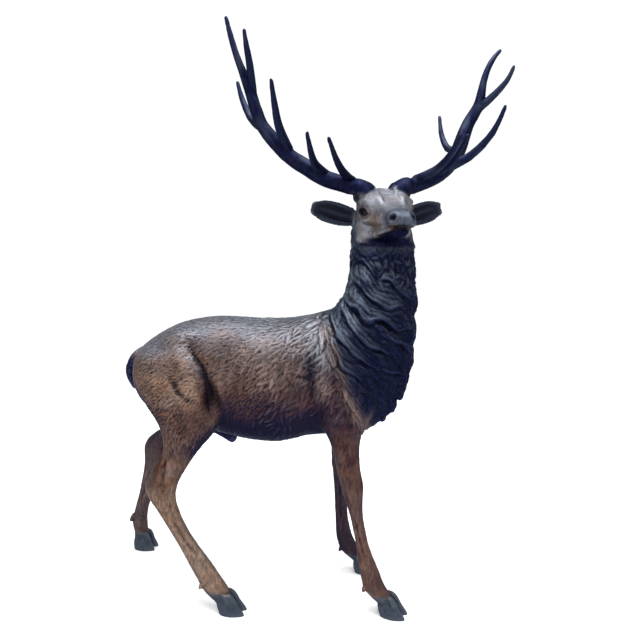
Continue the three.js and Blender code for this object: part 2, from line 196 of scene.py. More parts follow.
class Clay:
    """The points of a mesh as arrays, with the means to smooth and push them."""

    def __init__(self, mesh):
        self.mesh = mesh
        self.points = np.empty(len(mesh.vertices) * 3)
        mesh.vertices.foreach_get("co", self.points)
        self.points = self.points.reshape(-1, 3)
        self.edges = np.empty(len(mesh.edges) * 2, np.int64)
        mesh.edges.foreach_get("vertices", self.edges)
        self.edges = self.edges.reshape(-1, 2)
        mesh.calc_loop_triangles()
        self.tris = np.empty(len(mesh.loop_triangles) * 3, np.int64)
        mesh.loop_triangles.foreach_get("vertices", self.tris)
        self.tris = self.tris.reshape(-1, 3)
        self.count = len(self.points)
        self.valence = np.maximum(np.bincount(self.edges.ravel(), minlength=self.count), 1)
        self.renew()

    def renew(self):
        a, b, c = (self.points[self.tris[:, k]] for k in range(3))
        face = np.cross(b - a, c - a)
        out = np.zeros_like(self.points)
        for axis in range(3):
            corner = np.repeat(face[:, axis], 3)
            out[:, axis] = np.bincount(self.tris.ravel(), corner, self.count)
        self.normals = unit(out)

    def around(self, values):
        """The mean of each point's neighbours."""
        i, j = self.edges[:, 0], self.edges[:, 1]
        columns = values.reshape(self.count, -1)
        out = np.empty_like(columns)
        for k in range(columns.shape[1]):
            total = np.bincount(i, columns[j, k], self.count) + np.bincount(j, columns[i, k], self.count)
            out[:, k] = total / self.valence
        return out.reshape(values.shape)

    def blurred(self, values, times, rate=0.5):
        for _ in range(times):
            values = values + rate * (self.around(values) - values)
        return values

    def relax(self, times, weight=1.0, rate=0.5, keep=True):
        """Smooths the points; with keep, every second pass swells them back by as much."""
        weight = np.broadcast_to(np.asarray(weight, float), (self.count,))
        moving = weight > 0.003
        edges = self.edges[moving[self.edges].any(1)]
        used, edges = np.unique(edges, return_inverse=True)
        i, j = edges.reshape(-1, 2).T
        count = len(used)
        points = self.points[used]
        share = (weight / self.valence)[used] * moving[used]
        for k in range(times):
            pull = -rate * 1.03 if keep and k % 2 else rate
            move = np.empty_like(points)
            for axis in range(3):
                column = points[:, axis]
                total = np.bincount(i, column[j], count) + np.bincount(j, column[i], count)
                move[:, axis] = total - column * self.valence[used]
            points += pull * share[:, None] * move
        self.points[used] = points
        self.renew()

    def push(self, height):
        self.points = self.points + self.normals * height[:, None]
        self.renew()

    def write(self):
        self.mesh.vertices.foreach_set("co", self.points.astype(np.float32).ravel())
        self.mesh.update()


def refined(obj, chosen, cuts=1):
    """The object's mesh with the faces whose corners are all chosen cut finer."""
    bm = bmesh.new()
    bm.from_mesh(obj.data)
    bm.verts.ensure_lookup_table()
    edges = [e for e in bm.edges if chosen[e.verts[0].index] and chosen[e.verts[1].index]]
    bmesh.ops.subdivide_edges(bm, edges=edges, cuts=cuts, use_grid_fill=True)
    bmesh.ops.triangulate(bm, faces=[f for f in bm.faces if len(f.verts) > 4])
    bm.to_mesh(obj.data)
    bm.free()
    return obj.data


# ---------------------------------------------------------------- regions

def into_mane(points):
    """How far each point lies in front of the mane's edge, seen from the side."""
    x, z = points[:, 0], points[:, 2]
    edge = MANE_FOOT[0] + (z - MANE_FOOT[1]) * (MANE_TOP[0] - MANE_FOOT[0]) / (MANE_TOP[1] - MANE_FOOT[1])
    return x - np.maximum(edge, MANE_TOP[0] - 0.03)


def regions(points):
    """How far each point belongs to the head, antlers, ears, mane, legs and hooves, 0 to 1."""
    f, o, u = in_head(points)
    z = points[:, 2]
    cut = (f - 0.03) * 0.731 + (u + 0.21) * 0.682
    aside = np.abs(o)
    antler = np.maximum(step(0.0, 0.014, u), step(-0.022, -0.008, u) * step(0.04, 0.05, aside))
    ear = step(0.100, 0.116, aside) * step(0.0, -0.012, u) * step(-0.22, -0.19, u)
    high = step(1.43, 1.47, z)
    head = step(-0.012, 0.012, cut) * high * (1 - antler) * (1 - ear)
    mane = step(-0.02, 0.05, into_mane(points)) * step(0.68, 0.73, z)
    mane *= (1 - head) * (1 - antler) * (1 - ear)
    leg = step(0.68, 0.56, z)
    hoof = step(0.094, 0.080, z)
    return {"head": head, "antler": antler, "ear": ear, "mane": mane, "leg": leg, "hoof": hoof}


# ---------------------------------------------------------------- strokes and tufts

def stroke(clay, path, width, height, fade=0.25, side=0):
    """Height over the clay of a ridge, or a groove where negative, along a path near its skin.

    With side, -1 for the stag's right and 1 for its left, the path's points are (x, z) as seen
    from that side, and the stroke lies on the skin that faces it.
    """
    path = np.asarray(path, float)
    if side:
        points = clay.points[:, [0, 2]]
        seen = step(0.05, 0.35, side * clay.normals[:, 1]) * (side * (clay.points[:, 1] - MIDDLE_Y) > 0.03)
    else:
        points, seen = clay.points, np.ones(clay.count)
    reach = 3 * width
    near = np.flatnonzero(((points > path.min(0) - reach) & (points < path.max(0) + reach)).all(1))
    where, best, _ = along_path(points[near], path)
    ends = step(0, fade, where) * step(1, 1 - fade, where) if fade else 1
    out = np.zeros(clay.count)
    out[near] = height * bell(best, width) * ends * seen[near]
    return out


def along_path(points, path):
    """For each point its place along the path, 0 to 1, its distance from it and the stretch it is at."""
    lengths = np.linalg.norm(np.diff(path, axis=0), axis=1)
    best = np.full(len(points), np.inf)
    where = np.zeros(len(points))
    stretch = np.zeros(len(points), np.int64)
    run = 0.0
    for k, (a, b, length) in enumerate(zip(path[:-1], path[1:], lengths)):
        t = np.clip((points - a) @ (b - a) / length ** 2, 0, 1)
        d = np.linalg.norm(points - a - t[:, None] * (b - a), axis=1)
        better = d < best
        best = np.where(better, d, best)
        where = np.where(better, (run + t * length) / lengths.sum(), where)
        stretch = np.where(better, k, stretch)
        run += length
    return where, best, stretch


def curve(places, steps=6):
    """A smooth run of points through the given places."""
    p = np.asarray(places, float)
    ends = np.vstack([2 * p[0] - p[1], p, 2 * p[-1] - p[-2]])
    out = []
    for k in range(len(p) - 1):
        a, b, c, d = ends[k:k + 4]
        for t in np.arange(steps) / steps:
            out.append(b + 0.5 * t * (c - a + t * (2 * a - 5 * b + 4 * c - d + t * (3 * (b - c) + d - a))))
    return np.array(out + [p[-1]])


def fold(clay, places, width, height, side, flow):
    """Height over the clay of one bold fold of hair seen from the side, soft above and steep below.

    It also turns flow, the way the hair lies, to run with the fold.
    """
    path = curve(places)
    points = clay.points[:, [0, 2]]
    reach = 2.5 * width
    facing = side * clay.normals[:, 1]
    near = np.flatnonzero((facing > -0.1) & (side * (clay.points[:, 1] - MIDDLE_Y) > -0.02)
                          & ((points > path.min(0) - reach) & (points < path.max(0) + reach)).all(1))
    where, far, stretch = along_path(points[near], path)
    way = unit(np.diff(path, axis=0))[stretch]
    away = points[near] - path[stretch]
    above = np.sign(way[:, 0] * away[:, 1] - way[:, 1] * away[:, 0])
    uneven = wobble(clay.points[near], 0.045)
    girth = width * (0.6 + 0.4 * np.sin(math.pi * np.clip(where * 0.9 + 0.05, 0, 1)))
    d = far * above / girth + 0.28 * uneven
    rise = np.where(d > 0, np.clip(1 - d / 1.9, 0, 1) ** 1.4, np.clip(1 - (d / -0.34) ** 2, 0, 1) ** 0.6)
    under = -0.25 * bell(d + 0.5, 0.22)
    ends = step(0, 0.16, where) * step(1, 0.72, where) * step(-0.1, 0.25, facing[near])
    strands = 0.0009 * np.cos(far * above * 2 * math.pi / 0.016 + 3.0 * uneven) * step(-0.5, -0.1, d)
    out = np.zeros(clay.count)
    out[near] = ends * (height * (rise + under) + strands * step(1.9, 1.2, d))
    turn = (ends * step(1.9, 0.8, np.abs(d)))[:, None]
    lie = np.stack([way[:, 0], 0 * way[:, 0], way[:, 1]], 1)
    flow[near] = unit(flow[near] * (1 - turn) + lie * turn)
    return out


def mound(clay, centre, radii, height, axes=None):
    """Height over the clay of one soft bump, or a hollow where negative."""
    axes = np.eye(3) if axes is None else axes
    away = (clay.points - np.asarray(centre)) @ axes.T / np.asarray(radii)
    return height * np.exp(-(away ** 2).sum(1))


def scattered(clay, spacing, chance):
    """Points of the clay about one spacing apart, kept with the given chance at each."""
    order = rng.permutation(clay.count)
    cell = np.floor(clay.points[order] / spacing).astype(np.int64)
    _, first = np.unique(cell, axis=0, return_index=True)
    picked = order[np.sort(first)]
    return picked[rng.random(len(picked)) < chance[picked]]


def neighbours(points, centres, reach):
    """Pairs of centre and point numbers at most one cell of size reach apart."""
    low = points.min(0) - 2 * reach
    size = np.ceil((points.max(0) - low) / reach).astype(np.int64) + 3
    key = lambda c: (c[:, 0] * size[1] + c[:, 1]) * size[2] + c[:, 2]
    cell = np.floor((points - low) / reach).astype(np.int64)
    keys = key(cell)
    order = np.argsort(keys, kind="stable")
    keys = keys[order]
    home = np.floor((centres - low) / reach).astype(np.int64)
    for dx in (-1, 0, 1):
        for dy in (-1, 0, 1):
            for dz in (-1, 0, 1):
                wanted = key(home + (dx, dy, dz))
                start = np.searchsorted(keys, wanted, "left")
                stop = np.searchsorted(keys, wanted, "right")
                number = stop - start
                if not number.sum():
                    continue
                which = np.repeat(np.arange(len(centres)), number)
                offset = np.arange(number.sum()) - np.repeat(np.cumsum(number) - number, number)
                yield which, order[start[which] + offset]


def tufts(clay, picked, flow, length, width, height, bend=0.0, strands=0, turn=0.3, deep=0.6):
    """Height over the clay of overlapping tufts, each rising from its root to a pointed tip.

    length, width, height, bend and flow may be one value or one for each picked point.
    """
    count = len(picked)
    full = lambda v: np.broadcast_to(np.asarray(v, float), (count,))
    length = full(length) * rng.uniform(0.8, 1.25, count)
    width = full(width) * rng.uniform(0.8, 1.2, count)
    height = full(height) * rng.uniform(0.75, 1.25, count)
    bend = full(bend) * rng.uniform(-1, 1, count)
    centres = clay.points[picked]
    n = clay.normals[picked]
    t = unit(flow - n * (flow * n).sum(1, keepdims=True))
    b = np.cross(n, t)
    angle = rng.normal(0, turn, count)[:, None]
    t = t * np.cos(angle) + b * np.sin(angle)
    b = np.cross(n, t)
    out = np.zeros(clay.count)
    reach = float(np.max(np.hypot(length, width + np.abs(bend))))
    for which, point in neighbours(clay.points, centres, reach):
        away = clay.points[point] - centres[which]
        s = (away * t[which]).sum(1) / length[which]
        ok = np.abs(s) < 1
        which, point, away, s = which[ok], point[ok], away[ok], s[ok]
        facing = (clay.normals[point] * n[which]).sum(1) > 0.2
        which, point, away, s = which[facing], point[facing], away[facing], s[facing]
        across = (away * b[which]).sum(1) - bend[which] * (s * s - 0.3)
        girth = width[which] * np.sqrt(np.clip(1 - s, 0, 1)) * (0.55 + 0.45 * np.clip(1 + s, 0, 1))
        q = across / np.maximum(girth, 1e-6)
        inside = np.abs(q) < 1
        which, point, s, q = which[inside], point[inside], s[inside], q[inside]
        rise = step(-1.0, 0.45, s) * step(1.0, 0.8, s)
        h = height[which] * rise * (1 - q * q) ** deep
        if strands:
            h = h * (1 - 0.28 * (0.5 - 0.5 * np.cos(2 * math.pi * strands * q + 3 * s)))
        np.maximum.at(out, point, h)
    return out


# ---------------------------------------------------------------- the stag

def coat_flow(points, part):
    """The way the hair lies: back and down over the trunk, down the legs, forward down the mane."""
    z = points[:, 2]
    low = np.clip((1.15 - z) / 0.45, 0, 1)
    steep = step(-0.30, 0.05, points[:, 0])
    trunk = np.stack([-1 + 0.3 * low + 0.2 * steep, 0 * z, -0.35 - 0.45 * low - 0.45 * steep], 1)
    leg = np.broadcast_to([-0.05, 0, -1.0], points.shape)
    front = step(0.30, 0.45, points[:, 0])
    mane = np.stack([0.62 - 0.5 * front, 0 * z, -0.8 - 0.2 * front], 1)
    out = unit(trunk)
    legs = step(0.85, 0.62, z)[:, None]
    out = out * (1 - legs) + legs * leg
    w = part["mane"][:, None]
    return unit(out * (1 - w) + w * unit(mane))


def wobble(points, size, number=7):
    """A smooth random field of about -1 to 1 whose swells are about size across."""
    total = np.zeros(len(points))
    for _ in range(number):
        way = unit(rng.normal(size=3)) / size * rng.uniform(0.7, 1.4) * math.pi
        total += np.sin(points @ way + rng.uniform(0, 2 * math.pi))
    return total / math.sqrt(number)


def muscles(clay):
    """The large forms under the hide: flank fold, thigh, shoulder, ribs, hips and elbows.

    Also gives how deep each point lies in the shade of the two great folds.
    """
    height = np.zeros(clay.count)
    shade = np.zeros(clay.count)
    for side in (-1, 1):
        hind = -0.05 if side > 0 else 0.0
        fore = -0.03 if side > 0 else 0.0
        at = lambda places, shift: [(x + shift * (1.12 - z) / 0.3, z) for x, z in places]
        flank = at([(-0.41, 1.119), (-0.372, 1.045), (-0.337, 0.987), (-0.315, 0.929), (-0.297, 0.85),
                    (-0.283, 0.758)], hind)
        elbow = at([(0.078, 1.09), (0.093, 1.01), (0.096, 0.955), (0.102, 0.901), (0.115, 0.845)], fore)
        for path, width, tall, fade in (
                (curve(flank), 0.011, -0.008, 0.3),
                (curve(flank), 0.034, -0.018, 0.3),
                ([(x - 0.05, z) for x, z in flank], 0.04, 0.012, 0.35),
                ([(x + 0.05, z) for x, z in flank[2:]], 0.035, 0.006, 0.35),
                (curve(elbow), 0.014, -0.006, 0.4),
                (curve(elbow), 0.036, -0.017, 0.3),
                (at([(0.03, 0.98), (0.093, 0.965)], fore), 0.012, -0.006, 0.3),
                ([(x + 0.05, z) for x, z in elbow], 0.04, 0.010, 0.35),
                (at([(-0.47, 0.975), (-0.42, 0.897), (-0.371, 0.865), (-0.33, 0.88)], hind),
                 0.016, -0.009, 0.3),
                (at([(-0.44, 1.00), (-0.38, 0.93), (-0.345, 0.91)], hind), 0.03, 0.007, 0.3),
                (at([(-0.46, 0.86), (-0.40, 0.78), (-0.38, 0.70)], hind), 0.028, -0.006, 0.4),
                ([(0.10, 1.18), (0.16, 1.08), (0.20, 0.97)], 0.05, 0.009, 0.3),
                ([(0.02, 1.15), (0.055, 1.05)], 0.05, -0.006, 0.3),
                ([(0.16, 0.90), (0.19, 0.84), (0.20, 0.78)], 0.035, 0.006, 0.3),
                ([(0.245, 0.86), (0.245, 0.76)], 0.02, -0.007, 0.3)):
            height += stroke(clay, path, width, tall, fade, side)
        for path, width, depth, fade in (
                (curve(flank[1:]), 0.024, 1.0, 0.35),
                (curve(elbow), 0.032, 0.9, 0.3),
                (at([(0.07, 0.95), (0.03, 0.90), (0.02, 0.84)], fore), 0.030, 0.7, 0.3)):
            shade += stroke(clay, path, width, depth, fade, side)
        for k in range(6):
            x = -0.03 - 0.042 * k
            rib = [(x, 1.06), (x - 0.022, 0.95), (x - 0.02, 0.84)]
            height += stroke(clay, rib, 0.012, 0.0016, 0.4, side)
        height += mound(clay, (-0.44, MIDDLE_Y + side * 0.13, 1.10), (0.05, 0.05, 0.03), 0.008)
        height += mound(clay, (-0.56, MIDDLE_Y + side * 0.10, 0.99), (0.04, 0.05, 0.04), 0.007)
        height += mound(clay, (-0.24, MIDDLE_Y + side * 0.19, 1.02), (0.09, 0.08, 0.06), -0.007)
    height += mound(clay, SHEATH, (0.045, 0.030, 0.035), 0.012)
    height += wobble(clay.points, 0.12) * 0.0016
    return height, shade


def leg_forms(clay):
    """Joints, tendons and the hollows between them, along each leg."""
    height = np.zeros(clay.count)
    for name, joints in LEG_JOINTS.items():
        joints = [np.array(j) for j in joints]
        hind = name.endswith("hind")
        knee = joints[3]
        fetlock = joints[5]
        ahead = unit(np.cross([0.0, 1.0, 0.0], joints[5] - joints[4]) * -1)
        if ahead[0] < 0:
            ahead = -ahead
        for side in (-1, 1):
            aside = np.array([0, side, 0]) * 0.028
            groove = [joints[4] + aside - 0.004 * ahead, (joints[4] + fetlock) / 2 + aside - 0.004 * ahead,
                      fetlock + aside + [0, 0, 0.03]]
            height += stroke(clay, groove, 0.008, -0.0042, 0.25)
            cord = [p - 0.016 * ahead for p in groove]
            height += stroke(clay, cord, 0.008, 0.0025, 0.25)
            height += mound(clay, knee + aside * 1.1, (0.02, 0.016, 0.028), 0.004)
            height += mound(clay, fetlock + aside * 0.9 - 0.006 * ahead, (0.018, 0.014, 0.022), 0.0035)
            forearm = [joints[2] + aside * 1.5 + [0, 0, 0.02], knee + aside * 1.2 + [0, 0, 0.07]]
            height += stroke(clay, forearm, 0.012, -0.0035, 0.3)
        if hind:
            point = joints[3] + [-0.052, 0, -0.005]
            height += mound(clay, point, (0.02, 0.02, 0.03), 0.006)
            achilles = (joints[2] + joints[3]) / 2 + [-0.02, 0, 0.01]
            for side in (-1, 1):
                height += mound(clay, achilles + [0.0, side * 0.04, 0], (0.014, 0.02, 0.05), -0.008)
        else:
            front = knee + 0.03 * np.array([1, 0, 0])
            height += mound(clay, front, (0.018, 0.03, 0.035), 0.005)
            height += mound(clay, knee + [-0.035, 0, -0.02], (0.014, 0.02, 0.018), 0.004)
    return height


# The swellings and hollows of the face, seen from SKULL: centre, radii and height.
# Each is (forward, aside, up); the pairs lie on both sides of the head.
FACE_FORMS = [
    ((0.055, 0.092, -0.045), (0.032, 0.022, 0.014), 0.010),
    ((0.105, 0.070, -0.062), (0.022, 0.020, 0.014), 0.003),
    ((0.02, 0.098, -0.082), (0.020, 0.022, 0.020), 0.004),
    ((0.115, 0.066, -0.100), (0.030, 0.020, 0.014), -0.005),
    ((0.045, 0.090, -0.118), (0.045, 0.022, 0.014), 0.006),
    ((0.000, 0.082, -0.152), (0.038, 0.024, 0.030), 0.006),
    ((0.085, 0.066, -0.140), (0.040, 0.020, 0.020), -0.004),
    ((0.09, 0.0, -0.03), (0.06, 0.022, 0.03), -0.004),
    ((0.10, 0.045, -0.035), (0.06, 0.016, 0.02), 0.003),
    ((0.175, 0.040, -0.075), (0.045, 0.012, 0.02), 0.003),
    ((0.185, 0.055, -0.112), (0.030, 0.016, 0.018), -0.004),
    ((0.232, 0.040, -0.128), (0.020, 0.020, 0.012), 0.005),
    ((0.02, 0.02, 0.004), (0.03, 0.03, 0.02), 0.004),
]


def face(clay):
    """Brows, cheeks and muzzle."""
    f, o, u = in_head(clay.points)
    a = np.abs(o)
    head = np.stack([f, a, u], 1)
    height = np.zeros(clay.count)
    for centre, radii, tall in FACE_FORMS:
        height += tall * np.exp(-(((head - centre) / radii) ** 2).sum(1))
    return height


NOSTRIL = (0.240, 0.034, -0.103)
MOUTH_FRONT = (0.268, -0.126)
MOUTH_CORNER = (0.118, -0.171)


def mouth_and_nose(clay):
    """The mouth and nostrils, with the nose's pad and how far each point is from nostril and lips."""
    f, o, u = in_head(clay.points)
    a = np.abs(o)
    height = np.zeros(clay.count)
    low = np.array([f, u]).T
    start, end = np.array(MOUTH_FRONT), np.array(MOUTH_CORNER)
    t = np.clip((low - start) @ (end - start) / ((end - start) @ (end - start)), 0, 1)
    sag = 0.006 * np.sin(math.pi * t)
    upward = unit(np.array([-(end - start)[1], (end - start)[0]]))
    d = (low - start - t[:, None] * (end - start)) @ upward - sag
    on = step(0.108, 0.122, f) * (u > -0.2) * (a < 0.1)
    height -= 0.0055 * bell(d, 0.0034) * on
    height += 0.0040 * bell(d + 0.010, 0.007) * on * step(0.11, 0.15, f)
    height -= 0.0065 * bell(d - 0.016, 0.016) * on * step(0.11, 0.17, f)
    across = (a - NOSTRIL[1]) / 0.0160
    rise = (u - NOSTRIL[2] + 0.15 * (a - NOSTRIL[1])) / 0.0155
    away = (f - NOSTRIL[0]) / 0.024
    r = np.sqrt(across ** 2 + rise ** 2 + away ** 2)
    height -= 0.017 * step(1.05, 0.55, r)
    height += 0.0026 * bell(r - 1.35, 0.35)
    pad = step(0.222, 0.232, f) * step(-0.118, -0.110, u) * step(0.055, 0.045, a)
    height += 0.0016 * pad
    height -= 0.003 * bell(o, 0.0035) * step(0.24, 0.25, f) * step(-0.100, -0.108, u)
    return height, pad, r, d


def eyes(clay):
    """Eyeballs behind lids, with a tear groove and folds, moulded over the solid's round eyes."""
    points = clay.points.copy()
    inside = np.zeros(clay.count)
    ring = np.zeros(clay.count)
    for side in (-1, 1):
        out = unit(HEAD_LEFT * side * 0.93 + HEAD_FORWARD * 0.36 + UP * 0.02)
        along = unit(HEAD_FORWARD - out * (HEAD_FORWARD @ out))
        high = np.cross(out, along) * side
        if high[2] < 0:
            high = -high
        centre = SKULL + 0.070 * HEAD_FORWARD + side * 0.076 * HEAD_LEFT - 0.082 * UP
        away = clay.points - centre
        a, h, w = away @ along, away @ high, away @ out
        r = np.hypot(a, h)
        near = (r < 0.052) & (w > -0.014) & (w < 0.045)
        half = 0.0270
        slant = 0.12
        hh = h + slant * a
        upper = 0.0145 * np.clip(1 - (a / half) ** 2, 0, 1) ** 0.7
        lower = 0.0105 * np.clip(1 - (a / half) ** 2, 0, 1) ** 0.8
        gap = np.where(hh > 0, hh - upper, -hh - lower)
        gap = np.where(np.abs(a) > half, np.hypot(np.abs(a) - half, hh), gap)
        ball = np.sqrt(np.clip(0.029 ** 2 - a ** 2 - h ** 2, 0, None)) - 0.0085
        lid = 0.0225 - 0.10 * np.abs(a) - 0.06 * np.abs(h)
        lid += 0.0016 * bell(gap - 0.003, 0.004) + np.where(hh > 0, 0.0030, 0.0) * bell(gap - 0.005, 0.006)
        lid -= 0.0020 * bell(gap - 0.0100, 0.003)
        target = np.where(gap < 0, ball - 0.0005, lid)
        fade = step(0.048, 0.031, r) * near
        points += ((target - w) * fade)[:, None] * out
        # where the eye is painted near black as shade, and a band of painted shade round it
        inside = np.maximum(inside, step(0.0012, -0.0006, gap) * near * 0.8)
        inside = np.maximum(inside, bell(gap - 0.0012, 0.0017) * near)
        ring = np.maximum(ring, step(0.019, 0.008, gap) * near)
    clay.points = points
    clay.renew()
    return inside, ring


def tube_axis(clay, which, times=40):
    """The way a round bar runs at each point: the way in which its skin's normals don't turn."""
    n = clay.normals
    pairs = [(0, 0), (0, 1), (0, 2), (1, 1), (1, 2), (2, 2)]
    spread = np.stack([n[:, i] * n[:, j] for i, j in pairs], 1)
    spread = clay.blurred(spread, times)[which]
    full = np.empty((len(which), 3, 3))
    for k, (i, j) in enumerate(pairs):
        full[:, i, j] = full[:, j, i] = spread[:, k]
    _, vectors = np.linalg.eigh(full)
    axis = vectors[:, :, 0]
    return axis * np.where(axis[:, 2:] < 0, -1, 1)


EAR_BASE = np.array([-0.032, 0.092, -0.106])
EAR_TIP = np.array([-0.066, 0.264, -0.062])
EAR_HALF_WIDTH = 0.051
# The ear's width at even steps from its base to its tip, as a share of its widest.
EAR_OUTLINE = [0.66, 0.84, 0.97, 1.02, 0.98, 0.82, 0.3]


def ears(clay, ear):
    """A raised rim and a hollow with ribs of hair on the front of each ear."""
    height = np.zeros(clay.count)
    inner = np.zeros(clay.count)
    rim = np.full(clay.count, -1.0)
    for side in (-1, 1):
        mirror = np.array([1, side, 1])
        place = lambda p: SKULL + p[0] * HEAD_FORWARD + p[1] * HEAD_LEFT + p[2] * UP
        base, tip = place(EAR_BASE * mirror), place(EAR_TIP * mirror)
        length = tip - base
        ahead = unit(HEAD_FORWARD - length * (HEAD_FORWARD @ length) / (length @ length))
        wide = unit(np.cross(length, ahead)) * side
        away = clay.points - base
        t = away @ length / (length @ length)
        half = EAR_HALF_WIDTH * np.interp(t, np.linspace(0, 1, len(EAR_OUTLINE)), EAR_OUTLINE)
        q = away @ wide / half
        on = ear * (t > -0.1) * (t < 1.1) * (np.abs(q) < 1.4)
        on = on * (np.linalg.norm(away, axis=1) < 0.25)
        front = on * step(0.0, 0.4, clay.normals @ ahead)
        bowl = np.clip(1 - q * q, 0, 1) * step(-0.02, 0.2, t) * step(1.0, 0.8, t)
        height += front * (-0.0035 * bowl + 0.004 * bell(np.abs(q) - 0.93, 0.13))
        height += front * 0.0030 * bowl * np.cos(q * 11 + 1.5 * t) * step(0.95, 0.5, t)
        inner = np.maximum(inner, front * bowl ** 0.5)
        rim = np.where(on > 0, np.abs(q) - 0.97, rim)
    return height, inner, rim


# Folds of the mane from the nape forward and down to the throat, as (x, z) seen from the side.
MANE_FOLDS = [
    ([(0.235, 1.480), (0.270, 1.420), (0.315, 1.375), (0.365, 1.350)], 0.030, 0.010),
    ([(0.235, 1.395), (0.270, 1.330), (0.325, 1.275), (0.400, 1.240), (0.470, 1.225)], 0.042, 0.021),
    ([(0.345, 1.345), (0.380, 1.335), (0.410, 1.305), (0.445, 1.270), (0.480, 1.260)], 0.020, 0.013),
    ([(0.215, 1.315), (0.255, 1.245), (0.315, 1.195), (0.395, 1.170), (0.485, 1.140)], 0.046, 0.024),
    ([(0.185, 1.275), (0.222, 1.195), (0.270, 1.135), (0.335, 1.095), (0.420, 1.060)], 0.038, 0.019),
    ([(0.380, 1.130), (0.415, 1.105), (0.455, 1.070), (0.480, 1.050)], 0.022, 0.012),
    ([(0.150, 1.220), (0.195, 1.130), (0.245, 1.070), (0.305, 1.025), (0.375, 0.985)], 0.032, 0.014),
    ([(0.350, 1.020), (0.400, 0.985), (0.450, 0.965)], 0.020, 0.010),
    ([(0.155, 1.130), (0.200, 1.050), (0.250, 0.990), (0.305, 0.945)], 0.026, 0.010),
]


